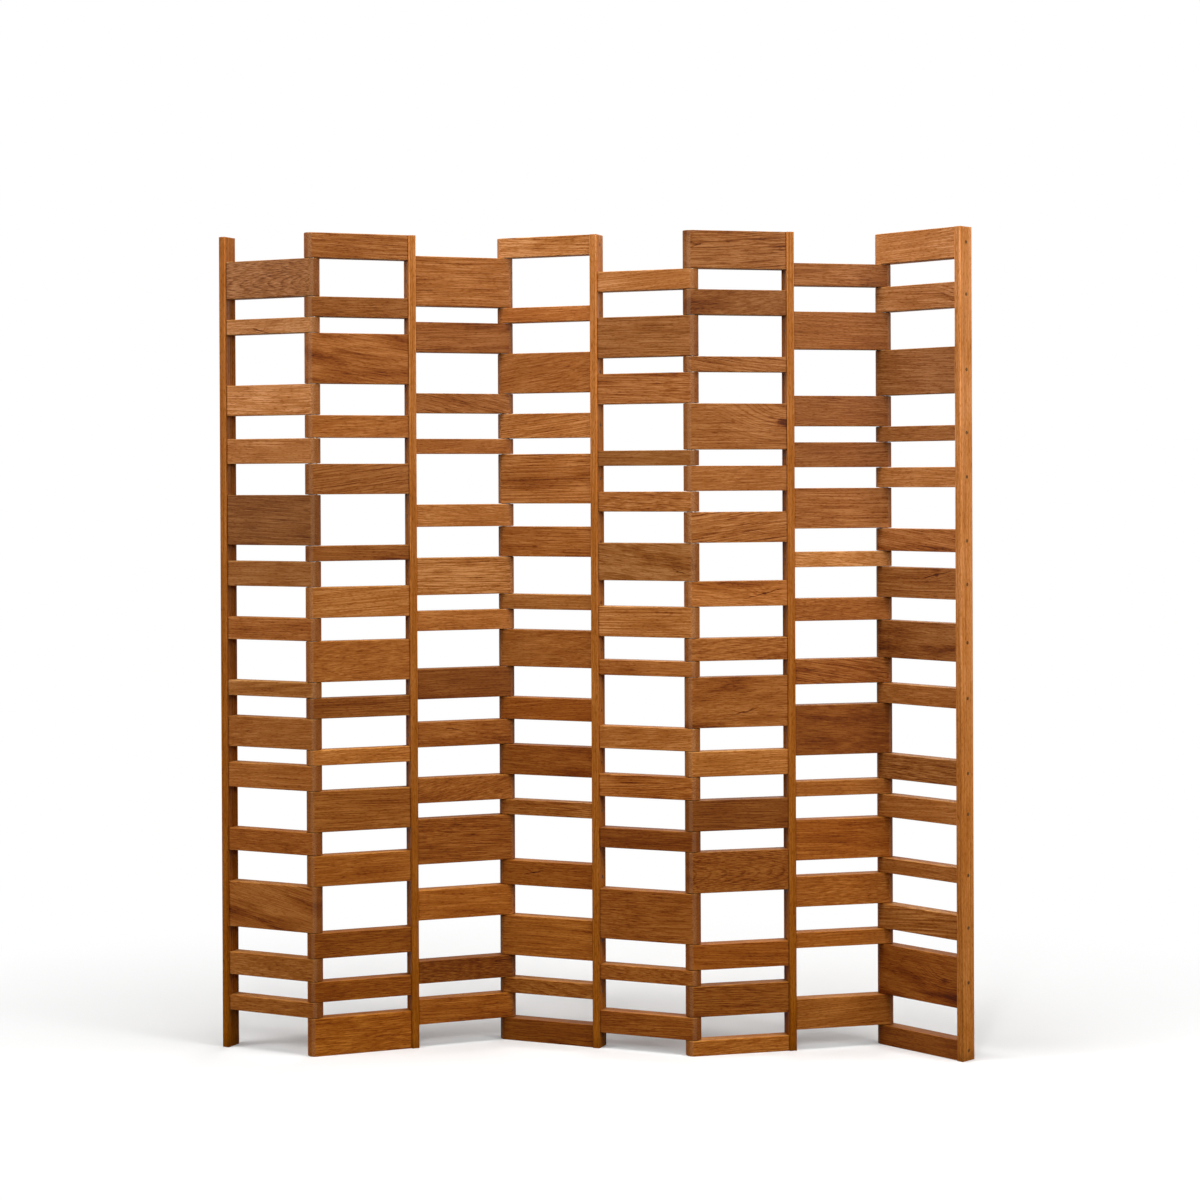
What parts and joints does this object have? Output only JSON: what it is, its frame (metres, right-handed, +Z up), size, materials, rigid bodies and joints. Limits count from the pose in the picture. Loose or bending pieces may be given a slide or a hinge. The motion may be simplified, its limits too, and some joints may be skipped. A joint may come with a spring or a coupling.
{
  "type": "slatted folding screen",
  "caption": "Free-standing folding room divider: rigid frames of horizontal wooden slats on posts, joined by wooden knuckle hinges on hidden steel rods.",
  "frame": {"origin": "on the floor under the middle of the standing screen's bounding box", "axes": "+Z up along the posts, +X to the right along the screen as seen from the front, -Y to the front"},
  "size_m": [1.6466, 0.276, 1.8],
  "materials": {
    "slat_wood": "oiled hardwood, satin",
    "post_wood": "oiled hardwood, satin",
    "dowel_wood": "oiled end grain",
    "rod_steel": "drawn steel rod",
    "washer_steel": "flat steel washer"
  },
  "bodies": {
    "left_frame": {"left_end_post": "post_wood", "narrow_slats_1": "slat_wood", "medium_slats_1": "slat_wood", "wide_slats_1": "slat_wood", "slat_dowels_1": "dowel_wood"},
    "second_frame": {"second_post": "post_wood", "narrow_slats_2": "slat_wood", "medium_slats_2": "slat_wood", "wide_slats_2": "slat_wood", "slat_dowels_2": "dowel_wood", "narrow_slats_3": "slat_wood", "medium_slats_3": "slat_wood", "wide_slats_3": "slat_wood", "slat_dowels_3": "dowel_wood", "hinge_rod_1": "rod_steel", "rod_cap_1": "dowel_wood", "hinge_washers_1": "washer_steel"},
    "middle_frame": {"middle_post": "post_wood", "narrow_slats_4": "slat_wood", "medium_slats_4": "slat_wood", "wide_slats_4": "slat_wood", "slat_dowels_4": "dowel_wood", "narrow_slats_5": "slat_wood", "medium_slats_5": "slat_wood", "wide_slats_5": "slat_wood", "slat_dowels_5": "dowel_wood", "hinge_rod_2": "rod_steel", "rod_cap_2": "dowel_wood", "hinge_washers_2": "washer_steel"},
    "fourth_frame": {"fourth_post": "post_wood", "narrow_slats_6": "slat_wood", "medium_slats_6": "slat_wood", "wide_slats_6": "slat_wood", "slat_dowels_6": "dowel_wood", "narrow_slats_7": "slat_wood", "medium_slats_7": "slat_wood", "wide_slats_7": "slat_wood", "slat_dowels_7": "dowel_wood", "hinge_rod_3": "rod_steel", "rod_cap_3": "dowel_wood", "hinge_washers_3": "washer_steel"},
    "right_frame": {"right_end_post": "post_wood", "narrow_slats_8": "slat_wood", "medium_slats_8": "slat_wood", "wide_slats_8": "slat_wood", "slat_dowels_8": "dowel_wood", "hinge_rod_4": "rod_steel", "rod_cap_4": "dowel_wood", "hinge_washers_4": "washer_steel"}
  },
  "joints": [
    {"name": "fold_2", "type": "hinge", "parent": "middle_frame", "child": "second_frame", "pos_m": [-0.19017, 0.12102, 0], "axis": [0, 0, 1], "range_deg": [-42.5, 126]},
    {"name": "fold_1", "type": "hinge", "parent": "second_frame", "child": "left_frame", "pos_m": [-0.6087, -0.02719, 0], "axis": [0, 0, 1], "range_deg": [-122.5, 46]},
    {"name": "fold_3", "type": "hinge", "parent": "middle_frame", "child": "fourth_frame", "pos_m": [0.21854, -0.05246, 0], "axis": [0, 0, 1], "range_deg": [-35.5, 133]},
    {"name": "fold_4", "type": "hinge", "parent": "fourth_frame", "child": "right_frame", "pos_m": [0.65201, 0.04364, 0], "axis": [0, 0, 1], "range_deg": [-109, 59.5]}
  ]
}
